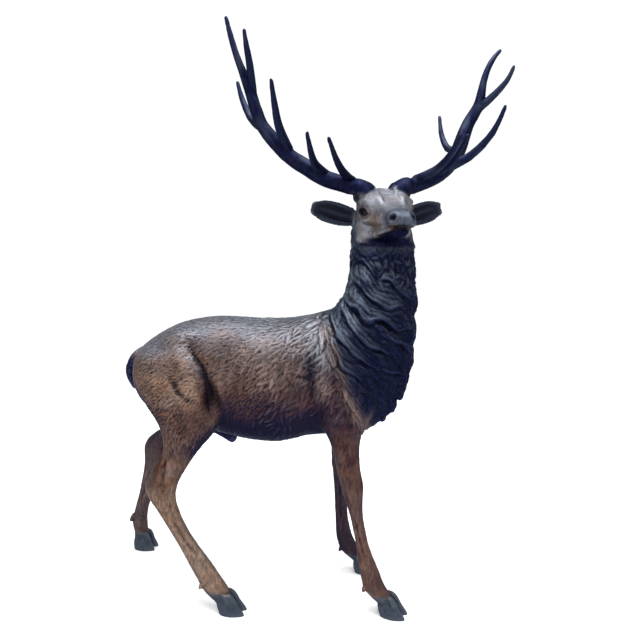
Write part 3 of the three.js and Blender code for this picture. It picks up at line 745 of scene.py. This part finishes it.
def model_stag():
    """The whole stag, modelled over the CAD solid; also the marks that its colours follow."""
    points, faces = rounded(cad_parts["stag"])
    stag = bpy.data.objects.new("bronze_stag", new_mesh("bronze_stag", points, faces))
    bpy.context.collection.objects.link(stag)
    applied(stag, kind="REMESH", mode="VOXEL", voxel_size=VOXEL)
    clay = Clay(stag.data)
    part = regions(clay.points)
    refined(stag, (part["head"] > 0.02) & (clay.points[:, 2] > 1.44))
    clay = Clay(stag.data)
    part = regions(clay.points)
    z = clay.points[:, 2]

    # the CAD solid's facets and plain folds are smoothed away, most where the forms are broad
    broad = step(0.55, 0.78, z) * (1 - part["head"]) * (1 - part["antler"]) * (1 - part["ear"])
    broad *= step(-0.66, -0.62, clay.points[:, 0]) * (1 - mound(clay, SHEATH, (0.055, 0.045, 0.032), 1.0))
    clay.relax(3, 1.0, keep=False)
    clay.relax(120, broad, keep=False)
    clay.relax(60, broad * part["mane"], keep=False)
    clay.relax(16, part["leg"] * (1 - part["hoof"]), keep=True)
    clay.relax(12, part["head"] + part["antler"], keep=True)
    thin = np.linalg.norm(clay.points - clay.blurred(clay.points, 12), axis=1)
    thick = step(0.0045, 0.0022, thin)
    swelling = 0.002 * thick - 0.0022 * step(0.0036, 0.0055, thin)
    clay.push(0.002 * broad + 0.004 * part["mane"] + swelling * part["antler"] + 0.0006 * part["ear"])

    f, o, u = in_head(clay.points)
    root = step(-0.070, -0.030, u) * step(0.090, 0.045, u)
    root *= step(0.026, 0.042, np.abs(o)) * step(0.115, 0.095, np.abs(o))
    clay.push(0.009 * root)
    clay.relax(60, root, keep=False)
    clay.push(0.004 * root)

    bare = 1 - np.maximum.reduce([part["head"], part["antler"], part["ear"], part["hoof"]])
    height, shade = muscles(clay)
    clay.push(height * bare * (1 - part["mane"]))
    clay.push(leg_forms(clay) * (1 - part["hoof"]))
    clay.push(face(clay) * part["head"])
    height, pad, nostril, lips = mouth_and_nose(clay)
    clay.push(height * part["head"])
    eye, ring = eyes(clay)
    height, inner_ear, rim = ears(clay, part["ear"])
    clay.push(height)

    marks = {"part": part, "eye": eye, "pad": pad, "nostril": nostril, "lips": lips, "inner_ear": inner_ear,
             "rim": rim, "ring": ring, "shade": shade}
    flow = coat_flow(clay.points, part)
    mane = part["mane"]

    # the mane: bold folds on the sides of the neck, locks round it, curls under the jaw
    folds = np.zeros(clay.count)
    for side in (-1, 1):
        for places, width, tall in MANE_FOLDS:
            one = fold(clay, places, width, tall, side, flow)
            folds = np.where(one > 0, np.maximum(folds, one), folds + one)
    covered = np.clip(folds / 0.006, 0, 1)
    throat = step(1.25, 1.32, z) * step(0.29, 0.34, clay.points[:, 0])
    curls = mane * np.maximum(step(1.38, 1.44, z), throat)
    bold = mane * (1 - curls) * step(1.02, 1.10, z)
    hanging = mane * step(1.10, 1.02, z)
    low_locks = hanging * (1 - 0.7 * covered) * step(0.3, 0.9, mane)
    locks = np.zeros(clay.count)
    neck = step(0.0, 0.2, part["head"] + mane) * (1 - part["ear"]) * (1 - part["antler"])
    chin = neck * step(-0.188, -0.205, u) * step(-0.07, -0.03, f)
    for zone, spacing, length, width, tall, bend, turn, strands in (
            (chin * step(1.41, 1.44, z), 0.024, 0.028, 0.012, 0.0075, 0.018, 0.8, 1),
            (bold * (1 - 0.6 * covered), 0.046, 0.055, 0.016, 0.009, 0.014, 0.22, 2),
            (low_locks, 0.040, 0.050, 0.021, 0.010, 0.014, 0.25, 2),
            (curls * (1 - 0.5 * covered), 0.030, 0.032, 0.013, 0.0085, 0.022, 0.8, 1)):
        picked = scattered(clay, spacing, step(0.2, 0.6, zone))
        raised = tufts(clay, picked, flow[picked], length, width, tall, bend, strands, turn)
        locks = np.maximum(locks, raised)
    clay.push(folds + locks * (1 - 0.6 * covered) - 0.45 * clay.blurred(locks, 50))

    # fine strands over the mane, and the coat: tufts on the trunk, longest over the shoulder, and
    # hardly any on the legs
    uneven = np.clip(0.9 + 0.3 * wobble(clay.points, 0.10), 0.5, 1.25)
    hair = np.zeros(clay.count)
    forearm = step(0.0, 0.05, clay.points[:, 0]) * step(0.90, 0.80, z)
    coat = bare * (1 - mane) * step(0.58, 0.78, z) * (1 - forearm)
    shaggy = coat * (0.25 + 0.75 * step(-0.20, 0.05, clay.points[:, 0]))
    sleek = bare * (1 - mane) * step(0.90, 0.72, z) * step(0.10, 0.20, z)
    for zone, spacing, length, width, tall, bend, turn in (
            (mane * (1 - 0.7 * curls), 0.017, 0.036, 0.0060, 0.0021, 0.005, 0.13),
            (coat, 0.0112, 0.023, 0.0055, 0.0029, 0.007, 0.34),
            (shaggy, 0.025, 0.044, 0.0105, 0.0046, 0.012, 0.42),
            (sleek, 0.017, 0.020, 0.0062, 0.0011, 0.001, 0.10),
            (part["head"] * (1 - pad), 0.010, 0.011, 0.0036, 0.0005, 0.002, 0.2)):
        picked = scattered(clay, spacing, zone)
        height = tall * uneven[picked] * step(0.0, 0.5, zone[picked])
        hair = np.maximum(hair, tufts(clay, picked, flow[picked], length, width, height, bend, 0, turn))
    clay.push(hair - 0.5 * clay.blurred(hair, 25))

    # antlers: long shallow furrows
    horn = np.flatnonzero(part["antler"] > 0.5)
    axis = np.zeros_like(clay.points)
    axis[horn] = tube_axis(clay, horn)
    picked = scattered(clay, 0.016, part["antler"] > 0.5)
    furrows = tufts(clay, picked, axis[picked], 0.060, 0.0065, 0.0008, 0.003, 0, 0.06)
    clay.push(furrows * part["antler"] * thick)
    low, high = (np.array(corner) for corner in cad_box)
    clay.points = np.clip(clay.points, low + BOX_GAP * (low < 0), high - BOX_GAP)
    clay.renew()
    clay.write()
    return stag, clay, marks


# ---------------------------------------------------------------- colour with painted light and shade, kept at the points

def patina(clay, marks):
    """Two sets of shares at each point: blue-black, blue-grey, copper, relief; low, holes, horn, pale.
    Blue-black also holds painted shade, blue-grey painted sky sheen, relief painted shade in hollows and
    highlight on ridges; low and holes are painted shade, and pale holds a painted highlight.
    """
    part = marks["part"]
    x, y, z = clay.points.T
    f, o, u = in_head(clay.points)
    n = clay.normals
    soft = clay.blurred(n, 3)
    swell = wobble(clay.points, 0.16)
    mottle = wobble(clay.points, 0.05)
    fine = ((clay.points - clay.blurred(clay.points, 5)) * n).sum(1)
    broad = ((clay.points - clay.blurred(clay.points, 40)) * n).sum(1)
    wide = (1 - part["antler"]) * (1 - part["ear"]) * (1 - 0.8 * part["leg"])
    head, mane = part["head"], part["mane"]
    wide *= 1 - 0.6 * mane
    # relief: how raised or hollow the skin is, for painted highlight on ridges and painted shade in hollows
    relief = np.clip(fine / 0.00048, -1, 1) * 0.6 + np.clip(broad / 0.0035, -1, 1) * 0.5 * wide
    relief *= 1 - 0.7 * head

    trunk = (1 - mane) * (1 - head) * (1 - part["antler"]) * (1 - part["ear"]) * (1 - part["hoof"])
    between = step(-0.31, -0.24, x + 0.25 * (z - 0.8)) * step(0.17, 0.10, x) * step(0.61, 0.66, z)
    shade = trunk * np.clip(marks["shade"] * (0.85 + 0.35 * mottle), 0, 1)
    fore = step(0.02, 0.10, x)
    # low: painted shade, the trunk darker towards the bottom between the legs and low on the shoulder, and
    # in the folds' shade
    low = trunk * np.maximum.reduce([between * step(1.04, 0.80, z + 0.03 * swell),
                                     fore * step(1.02, 0.86, z + 0.05 * mottle)
                                     * step(0.68, 0.80, z) * 0.95,
                                     fore * step(0.80, 0.70, z) * 0.4, 0.85 * shade])
    # painted shade: the underside of the trunk between the legs darker towards the bottom, surfaces facing
    # down, surfaces facing in between the legs, and the creases
    belly = trunk * between * step(0.82, 0.70, z + 0.03 * swell)
    under = trunk * step(0.1, -0.5, n[:, 2]) * step(0.60, 0.66, z) * step(0.95, 0.85, z)
    inner = trunk * step(0.3, -0.3, n[:, 1] * np.sign(y - MIDDLE_Y)) * step(1.0, 0.9, z) * 0.6
    crease = np.clip(-broad / 0.006 - 0.15, 0, 1) * trunk
    tail = trunk * step(-0.655, -0.69, x) * step(0.84, 0.88, z) * step(1.0, 0.2, soft[:, 2])
    jaw = head * step(-0.001, 0.003, marks["lips"] + 0.002 * mottle) * step(0.09, 0.13, f)
    collar = step(0.0, 0.15, mane) * step(1.30, 1.36, z)
    nose = step(0.185, 0.225, f) * step(-0.135, -0.120, u)
    roots = step(-0.050, -0.025, u + 0.006 * mottle) * step(0.034, 0.048, np.abs(o))
    roots *= step(0.05, 0.03, f) * head
    chin = step(0.0, 0.5, head) * step(-0.180, -0.195, u + 0.005 * mottle) * step(-0.01, 0.03, f)
    jaw = np.maximum(jaw, chin)
    jaw = np.maximum(jaw, head * step(-0.165, -0.180, u + 0.005 * mottle) * step(0.03, 0.07, f))
    back = head * step(0.015, -0.03, f - 0.4 * (u + 0.05)) * 0.60
    hem = trunk * step(-0.06, 0.01, into_mane(clay.points) + 0.015 * mottle)
    hem *= step(1.16, 0.98, z) * step(0.62, 0.72, z)
    mane_edge = step(0.0, 0.09, into_mane(clay.points) + 0.02 * mottle)
    # dark: the blue-black of mane, antlers, ears, antler roots, collar, nose, jaw, back of the head and
    # sheath, and painted shade: belly, undersides, inner sides, creases, round the eyes, the folds' shade,
    # and the tail save where it faces up
    dark = np.maximum.reduce([mane * mane_edge, part["antler"], part["ear"], roots, collar,
                              0.3 * hem, 0.45 * marks["ring"] * head, 0.88 * head * nose, belly,
                              0.9 * under, inner, 0.7 * crease, tail, jaw, back, 0.55 * shade,
                              np.clip(trunk * mound(clay, SHEATH, (0.10, 0.06, 0.08), 2.5), 0, 1)])
    throat = step(1.405, 1.43, z) * step(0.26, 0.31, x)
    # lit: up-facing, swelling surfaces, where a sky reflection is painted
    lit = step(-0.10, 0.55, soft[:, 2] + 0.12 * mottle) * (0.55 + 0.45 * np.clip(broad / 0.003, -1, 1))
    rear = step(0.50, 0.15, x + 0.55 * (1.25 - z))
    # blue-grey where the shoulder meets the mane, on the nose pad and in random patches, and painted sheen:
    # sky reflection on the up-facing mane, antlers, back and brow, and a highlight on the ear rims
    slate_and_sheen = np.maximum.reduce([
        mane * lit * (0.25 + 0.75 * rear) * step(0.80, 1.15, z + 0.5 * (0.25 - x)) * (0.85 - 0.6 * throat),
        part["antler"] * np.maximum(0.4 * step(0.3, 0.95, soft[:, 2] + 0.15 * mottle),
                                    0.12 * step(0.3, 1.3, swell + mottle)) * step(0.02, 0.12, u),
        part["ear"] * (0.26 + 0.74 * bell(marks["rim"], 0.13)),
        trunk * step(0.25, 0.85, n[:, 2] + 0.1 * swell) * step(0.95, 1.05, z),
        trunk * step(-0.02, 0.12, x - 0.5 * (1.1 - z)) * step(0.90, 1.08, z + 0.03 * swell),
        head * (1 - jaw) * (1 - back) * np.maximum.reduce([
            step(-0.15, 0.40, soft[:, 2] + 0.1 * mottle), marks["pad"], 0.9 * step(-0.5, 0.4, mottle)])])
    # no painted sheen on the antler roots, in the painted shade round the eyes or on the mane's hem
    slate_and_sheen = slate_and_sheen * (1 - roots) * (1 - 0.85 * marks["ring"]) * (1 - 0.3 * hem)
    slate_and_sheen *= 1 - 0.35 * head * nose
    limb = trunk * np.maximum(step(-0.24, -0.32, x + 0.25 * (z - 0.8)), step(0.80, 0.70, z))
    limb *= step(1.05, 0.90, z)
    copper = np.maximum.reduce([limb * (0.75 + 0.25 * mottle), trunk * step(0.0, 0.9, swell) * 0.5,
                                head * step(0.4, -0.3, mottle) * step(-0.07, -0.10, u) * 0.55])
    # hole: painted shade in the eyes, nostrils, the line of the mouth and the hollows of the ears
    hole = np.maximum(marks["eye"], head * step(1.0, 0.85, marks["nostril"]))
    hole = np.maximum(hole, head * bell(marks["lips"], 0.003) * step(0.115, 0.13, f))
    hole = np.maximum(hole, part["ear"] * marks["inner_ear"] * 0.5)
    horn = part["hoof"]
    hind = step(-0.20, -0.25, x)
    cheek = head * (1 - jaw) * step(-0.08, -0.11, u) * step(0.20, 0.16, f)
    # pale on the cheeks, the lower legs and the haunch, and a painted highlight on the up-facing front of
    # the head
    pale_and_highlight = np.maximum.reduce([0.75 * cheek,
                                part["leg"] * step(0.60, 0.40, z) * (0.15 + 0.65 * hind),
                                trunk * step(-0.26, -0.40, x) * step(0.74, 0.92, z) * 0.45
                                * step(1.08, 1.02, z),
                                head * (1 - jaw) * slate_and_sheen * step(0.19, 0.12, f)
                                * step(0.0, 0.6, soft[:, 2]) * 0.6])
    one = np.stack([dark, slate_and_sheen, copper, np.clip(0.5 + 0.5 * relief, 0, 1)], 1)
    two = np.stack([low, hole, horn, pale_and_highlight], 1)
    return np.clip(one, 0, 1), np.clip(two, 0, 1)


def keep_largest(mesh):
    """Deletes the tiny closed shells that the voxels leave inside the solid."""
    form = bmesh.new()
    form.from_mesh(mesh)
    left = set(form.verts)
    islands = []
    while left:
        reached = [left.pop()]
        for vert in reached:
            for edge in vert.link_edges:
                other = edge.other_vert(vert)
                if other in left:
                    left.remove(other)
                    reached.append(other)
        islands.append(reached)
    islands.sort(key=len)
    specks = [vert for island in islands[:-1] for vert in island]
    bmesh.ops.delete(form, geom=specks, context="VERTS")
    form.to_mesh(mesh)
    form.free()


def keep_colours(stag, clay, **layers):
    """Thins the mesh to the face limit and gives each point the colours of the nearest clay point."""
    tree = kdtree.KDTree(clay.count)
    for k, point in enumerate(clay.points):
        tree.insert(point, k)
    tree.balance()
    mesh = applied(stag, kind="DECIMATE", decimate_type="COLLAPSE", ratio=FACE_LIMIT / len(clay.tris),
                   use_collapse_triangulate=True)
    keep_largest(mesh)
    for vertex in mesh.vertices:
        vertex.co.z = max(vertex.co.z, cad_box[0][2])
    nearest = np.array([tree.find(v.co)[1] for v in mesh.vertices])
    for name, colours in layers.items():
        layer = mesh.attributes.new(name, "FLOAT_COLOR", "POINT")
        layer.data.foreach_set("color", colours[nearest].astype(np.float32).ravel())
    mesh.shade_smooth()
    return mesh


# ---------------------------------------------------------------- bronze

class Nodes:
    """Short ways to add shader nodes to a material."""

    def __init__(self, name):
        self.material = bpy.data.materials.new(name)
        self.material.use_nodes = True
        self.tree = self.material.node_tree
        self.shader = self.tree.nodes["Principled BSDF"]

    def add(self, kind, inputs=(), **settings):
        node = self.tree.nodes.new(kind)
        for key, value in settings.items():
            setattr(node, key, value)
        for key, value in dict(inputs).items():
            self.put(node.inputs[key], value)
        return node

    def put(self, socket, value):
        if isinstance(value, bpy.types.NodeSocket):
            self.tree.links.new(value, socket)
        else:
            socket.default_value = value

    def noise(self, scale, detail=3.0, rough=0.55, where=None):
        where = where or self.add("ShaderNodeTexCoord").outputs["Object"]
        return self.add("ShaderNodeTexNoise", {"Vector": where, "Scale": scale, "Detail": detail,
                                               "Roughness": rough}).outputs["Fac"]

    def ramp(self, value, low, high, out_low=0.0, out_high=1.0):
        node = self.add("ShaderNodeMapRange", {"Value": value, "From Min": low, "From Max": high,
                                               "To Min": out_low, "To Max": out_high})
        return node.outputs["Result"]

    def maths(self, how, a, b=0.0):
        return self.add("ShaderNodeMath", {0: a, 1: b}, operation=how).outputs[0]

    def blend(self, share, a, b, how="MIX"):
        node = self.add("ShaderNodeMix", data_type="RGBA", blend_type=how)
        self.put(node.inputs[0], share)
        self.put(node.inputs[6], a)
        self.put(node.inputs[7], b)
        return node.outputs[2]


# colours of the bronze; PLUM and WINE tint painted shade, PIT paints shade, BLUE and the two sheen colours
# paint highlight and sky reflection, PALE gives pale patches and a highlight
BROWN = (0.048, 0.034, 0.032, 1)
TAN = (0.110, 0.080, 0.071, 1)
COPPER = (0.040, 0.0165, 0.0095, 1)
RUST = (0.098, 0.046, 0.026, 1)
PLUM = (0.019, 0.0085, 0.0150, 1)
WINE = (0.040, 0.0135, 0.0125, 1)
BLUE_SHEEN_SLATE = (0.088, 0.107, 0.132, 1)
SLATE = (0.110, 0.116, 0.134, 1)
NAVY = (0.0012, 0.0022, 0.0150, 1)
BLUE = (0.0100, 0.0150, 0.0380, 1)
HORN = (0.032, 0.040, 0.053, 1)
PALE = (0.185, 0.135, 0.102, 1)
PALE_SHEEN_SLATE = (0.175, 0.186, 0.215, 1)
PIT = (0.002, 0.002, 0.005, 1)


def bronze():
    """Patinated bronze, coloured by the two sets of shares kept at the mesh's points, with shade and
    highlights painted into its colour.
    """
    k = Nodes("bronze")
    one = k.add("ShaderNodeAttribute", attribute_name="patina")
    two = k.add("ShaderNodeAttribute", attribute_name="tone")
    split = k.add("ShaderNodeSeparateColor", {"Color": one.outputs["Color"]})
    dark, slate_and_sheen, copper = (split.outputs[i] for i in range(3))
    split = k.add("ShaderNodeSeparateColor", {"Color": two.outputs["Color"]})
    low, hole, horn = (split.outputs[i] for i in range(3))
    relief, pale_and_highlight = one.outputs["Alpha"], two.outputs["Alpha"]
    times = lambda a, b: k.maths("MULTIPLY", a, b)
    speck = k.noise(55.0, 5, 0.65)
    colour = k.blend(k.ramp(k.noise(6.0, 5), 0.42, 0.60), BROWN, TAN)
    coppery = k.blend(k.ramp(k.noise(16.0, 4), 0.45, 0.65), COPPER, RUST)
    colour = k.blend(times(copper, k.ramp(k.noise(11.0, 4), 0.35, 0.55, 0.35, 1.0)), colour, coppery)
    # pale patches and a painted highlight on the front of the head
    colour = k.blend(times(pale_and_highlight, k.ramp(k.noise(26.0, 6, 0.7), 0.36, 0.66, 0.3, 0.85)), colour, PALE)
    # painted shade low on the trunk, tinted plum and wine
    low_shade_tint = k.blend(k.ramp(k.noise(9.0, 5), 0.45, 0.62), PLUM, WINE)
    colour = k.blend(times(low, k.ramp(k.noise(12.0, 5), 0.35, 0.6, 1.0, 0.75)), colour, low_shade_tint)
    colour = k.blend(horn, colour, HORN)
    # painted highlight: the dark zones bluer on raised ridges
    navy = k.blend(k.ramp(relief, 0.70, 1.0), NAVY, BLUE)
    colour = k.blend(times(dark, k.ramp(speck, 0.25, 0.5, 0.9, 1.0)), colour, navy)
    # the blue-grey tone and painted sheen laid over the colour, paler where pale is set and bluer over the
    # dark zones
    slate_sheen_colour = k.blend(dark, k.blend(pale_and_highlight, SLATE, PALE_SHEEN_SLATE), BLUE_SHEEN_SLATE)
    colour = k.blend(times(slate_and_sheen, k.ramp(k.noise(10.0, 4), 0.3, 0.6, 0.6, 1.0)), colour, slate_sheen_colour)
    # painted shade: hollows of the hair and relief near black
    colour = k.blend(k.ramp(relief, 0.47, 0.12, 0.0, 0.80), colour, PIT)
    # painted highlight: raised ridges lighter, with random lighter flecks
    light = k.blend(1.0, colour, (2.4, 2.3, 2.25, 1), "MULTIPLY")
    raised = times(k.ramp(relief, 0.55, 1.0, 0.0, 0.85), k.ramp(dark, 0.0, 1.0, 1.0, 0.4))
    fleck = times(k.ramp(speck, 0.56, 0.70, 0.0, 0.6), k.ramp(dark, 0.0, 1.0, 1.0, 0.25))
    colour = k.blend(k.maths("MAXIMUM", raised, fleck), colour, light)
    shade = k.blend(1.0, colour, (0.45, 0.42, 0.42, 1), "MULTIPLY")
    colour = k.blend(k.ramp(speck, 0.44, 0.32, 0.0, 0.7), colour, shade)
    # painted shade in the eyes, nostrils, mouth line and ear hollows
    colour = k.blend(hole, colour, PIT)
    k.put(k.shader.inputs["Base Color"], colour)
    k.shader.inputs["Metallic"].default_value = 0.85
    k.shader.inputs["Specular Tint"].default_value = (0.42, 0.45, 0.52, 1)
    k.put(k.shader.inputs["Roughness"], k.ramp(speck, 0.3, 0.7, 0.42, 0.60))
    grain = k.maths("ADD", k.noise(190.0, 4, 0.6), times(speck, 0.8))
    bump = k.add("ShaderNodeBump", {"Strength": 0.2, "Distance": 0.002, "Height": grain})
    k.put(k.shader.inputs["Normal"], bump.outputs["Normal"])
    return k.material


# ---------------------------------------------------------------- stage, light and camera

def stage():
    bpy.ops.mesh.primitive_circle_add(vertices=96, radius=60, fill_type="NGON", location=(0, 0, 0))
    floor = bpy.context.object
    floor.name = "floor"
    k = Nodes("pale_floor")
    k.shader.inputs["Base Color"].default_value = (0.97, 0.97, 0.97, 1)
    k.shader.inputs["Roughness"].default_value = 0.9
    floor.data.materials.append(k.material)
    floor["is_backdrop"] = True


def softbox(name, place, size, power, target=(0, 0, 1.0), colour=(1, 1, 1)):
    data = bpy.data.lights.new(name, "AREA")
    data.shape = "RECTANGLE"
    data.size, data.size_y = size
    data.energy = power
    data.color = colour
    light = bpy.data.objects.new(name, data)
    bpy.context.collection.objects.link(light)
    light.location = place
    away = np.array(target) - np.array(place)
    yaw = math.atan2(-away[0], away[1])
    light.rotation_euler = (math.atan2(np.hypot(away[0], away[1]), -away[2]), 0, yaw)


def lighting():
    world = bpy.data.worlds.new("studio")
    bpy.context.scene.world = world
    world.use_nodes = True
    sky = world.node_tree.nodes["Background"]
    sky.inputs["Color"].default_value = (0.985, 0.99, 1.0, 1)
    sky.inputs["Strength"].default_value = 1.06
    softbox("overhead", (0.2, -0.6, 4.2), (3.5, 3.0), 210)
    softbox("front_left", (-2.6, -3.2, 2.6), (2.0, 2.2), 45)
    softbox("front_right", (3.0, -2.6, 2.2), (1.6, 2.0), 25)


CAMERA_PLACE = (0.4917, -2.7058, 1.56)
CAMERA_TURN = 8.3
CAMERA_DIP = 8.366
CAMERA_LENS = 38.25


def camera():
    data = bpy.data.cameras.new("camera")
    data.lens = CAMERA_LENS
    data.sensor_width = 36
    eye = bpy.data.objects.new("camera", data)
    bpy.context.collection.objects.link(eye)
    eye.location = CAMERA_PLACE
    eye.rotation_euler = (math.radians(90 - CAMERA_DIP), 0, math.radians(CAMERA_TURN))
    bpy.context.scene.camera = eye
    bpy.context.scene.view_settings.view_transform = "Standard"


stag, clay, marks = model_stag()
patina_shares, tone_shares = patina(clay, marks)
keep_colours(stag, clay, patina=patina_shares, tone=tone_shares)
stag.data.materials.append(bronze())
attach(stag, "root")
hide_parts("stag")
stage()
lighting()
camera()

boxes = {"cad": cad_box, "visual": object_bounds()}
plain = {name: [[float(v) for v in corner] for corner in box] for name, box in boxes.items()}
